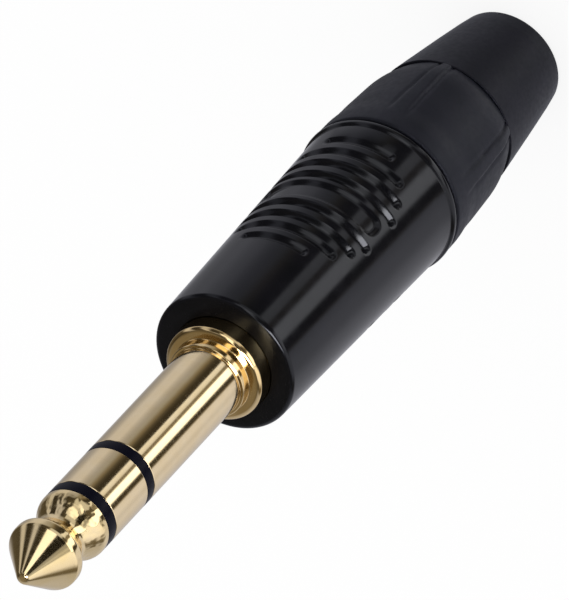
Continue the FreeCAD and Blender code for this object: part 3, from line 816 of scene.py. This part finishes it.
def make_world():
    """White for all rays but the glossy ones, which see the studio."""
    world = bpy.data.worlds.new("studio")
    bpy.context.scene.world = world
    world.use_nodes = True
    tree = world.node_tree
    tree.nodes.clear()
    link = tree.links.new
    output = tree.nodes.new("ShaderNodeOutputWorld")
    direction = tree.nodes.new("ShaderNodeTexCoord")
    turned = tree.nodes.new("ShaderNodeVectorRotate")
    turned.rotation_type = "Z_AXIS"
    turned.inputs["Angle"].default_value = -CAMERA_AZIMUTH
    link(direction.outputs["Generated"], turned.inputs["Vector"])
    split = tree.nodes.new("ShaderNodeSeparateXYZ")
    link(turned.outputs["Vector"], split.inputs["Vector"])
    angle = tree.nodes.new("ShaderNodeMath")
    angle.operation = "ARCTAN2"
    link(split.outputs["Y"], angle.inputs[0])
    link(split.outputs["X"], angle.inputs[1])
    share = tree.nodes.new("ShaderNodeMapRange")
    share.inputs["From Min"].default_value = -math.pi
    share.inputs["From Max"].default_value = math.pi
    link(angle.outputs["Value"], share.inputs["Value"])
    colour = make_ramp(tree, LOW_STUDIO, share.outputs["Result"])
    for stops, start, end in studio_layers:
        height = tree.nodes.new("ShaderNodeMapRange")
        height.inputs["From Min"].default_value = start
        height.inputs["From Max"].default_value = end
        link(split.outputs["Z"], height.inputs["Value"])
        blend = tree.nodes.new("ShaderNodeMix")
        blend.data_type = "RGBA"
        link(height.outputs["Result"], blend.inputs["Factor"])
        colours = [socket for socket in blend.inputs if socket.type == "RGBA"]
        link(colour, colours[0])
        link(make_ramp(tree, stops, share.outputs["Result"]), colours[1])
        colour = [socket for socket in blend.outputs if socket.type == "RGBA"][0]
    seen = tree.nodes.new("ShaderNodeBackground")
    link(colour, seen.inputs["Color"])
    white = tree.nodes.new("ShaderNodeBackground")
    white.inputs["Color"].default_value = WHITE
    path = tree.nodes.new("ShaderNodeLightPath")
    mix = tree.nodes.new("ShaderNodeMixShader")
    link(path.outputs["Is Glossy Ray"], mix.inputs["Fac"])
    link(white.outputs["Background"], mix.inputs[1])
    link(seen.outputs["Background"], mix.inputs[2])
    link(mix.outputs["Shader"], output.inputs["Surface"])


FLOOR_HALF = 3.0
FLOOR_GLOW = 0.85
FLOOR_COLOUR = (0.98, 0.98, 0.98, 1.0)


def make_floor():
    """White floor that glows, keeps the shadow and is left out of glossy rays."""
    mesh = bpy.data.meshes.new("floor")
    corners = [
        (-FLOOR_HALF, -FLOOR_HALF, 0), (FLOOR_HALF, -FLOOR_HALF, 0),
        (FLOOR_HALF, FLOOR_HALF, 0), (-FLOOR_HALF, FLOOR_HALF, 0),
    ]
    mesh.from_pydata(corners, [], [(0, 1, 2, 3)])
    floor = bpy.data.objects.new("floor", mesh)
    bpy.context.scene.collection.objects.link(floor)
    material = bpy.data.materials.new("floor")
    material.use_nodes = True
    tree = material.node_tree
    shader = tree.nodes["Principled BSDF"]
    shader.inputs["Base Color"].default_value = FLOOR_COLOUR
    shader.inputs["Roughness"].default_value = 1.0
    shader.inputs["Specular IOR Level"].default_value = 0.0
    glow = tree.nodes.new("ShaderNodeEmission")
    glow.inputs["Color"].default_value = WHITE
    mix = tree.nodes.new("ShaderNodeMixShader")
    mix.inputs["Fac"].default_value = FLOOR_GLOW
    tree.links.new(shader.outputs["BSDF"], mix.inputs[1])
    tree.links.new(glow.outputs["Emission"], mix.inputs[2])
    tree.links.new(mix.outputs["Shader"], tree.nodes["Material Output"].inputs["Surface"])
    mesh.materials.append(material)
    floor.visible_glossy = False


make_camera()
make_world()
make_floor()

gold = make_gold("gold", (0.97, 0.79, 0.5), (0.95, 0.75, 0.44)).material
# Deeper gold for the collar and the faces behind the shank: partly a deeper plating, partly
# painted reflection of the orange-brown gold-on-gold glow on the collar's face
collar_gold_and_painted_reflection = make_gold("collar_gold_and_painted_reflection", (0.97, 0.74, 0.4), (0.94, 0.7, 0.35)).material
insulator_black = make_insulator()
tinned = make_tinned()
cad_finishes = {
    "tag_washer": insulator_black,
    "rear_bush": insulator_black,
    "ground_tag": tinned,
    "ring_tag": tinned,
    "tip_tag": tinned,
    "insulating_sleeve": make_liner_plastic(),
    "chuck": make_white_plastic(),
}
for node, finish in cad_finishes.items():
    nodes[node].data.materials.clear()
    nodes[node].data.materials.append(finish)

stand_for(make_tip(), "tip_contact", make_tip_gold())
tip_insulator = make_ferrule(
    "tip_insulator_moulded", tip_tube_inside, tip_tube_outside,
    tip_back, ring_front, ring_tube_end, MOULDED_EDGE)
stand_for(tip_insulator, "tip_insulator", insulator_black)
ring = make_ferrule(
    "ring_turned", ring_tube_inside, ring_tube_outside,
    ring_front, ring_back, ring_tube_end, METAL_EDGE)
stand_for(ring, "ring_contact", gold)
ring_insulator = make_ferrule(
    "ring_insulator_moulded", ring_sleeve_inside, ring_sleeve_outside,
    ring_back, sleeve_front, spigot_end, MOULDED_EDGE)
stand_for(ring_insulator, "ring_insulator", insulator_black)
sleeve_turned = make_sleeve()
stand_for(sleeve_turned, "sleeve_contact", gold)
sleeve_turned.data.materials.append(collar_gold_and_painted_reflection)
shell_cast = make_shell()
stand_for(shell_cast, "shell", make_shell_black())
shell_cast.data.materials.append(make_face_black())
stand_for(make_nut(), "boot_nut", make_nut_black())
stand_for(make_tail(), "boot_tail", make_tail_black())

bpy.context.scene.view_settings.view_transform = "Standard"
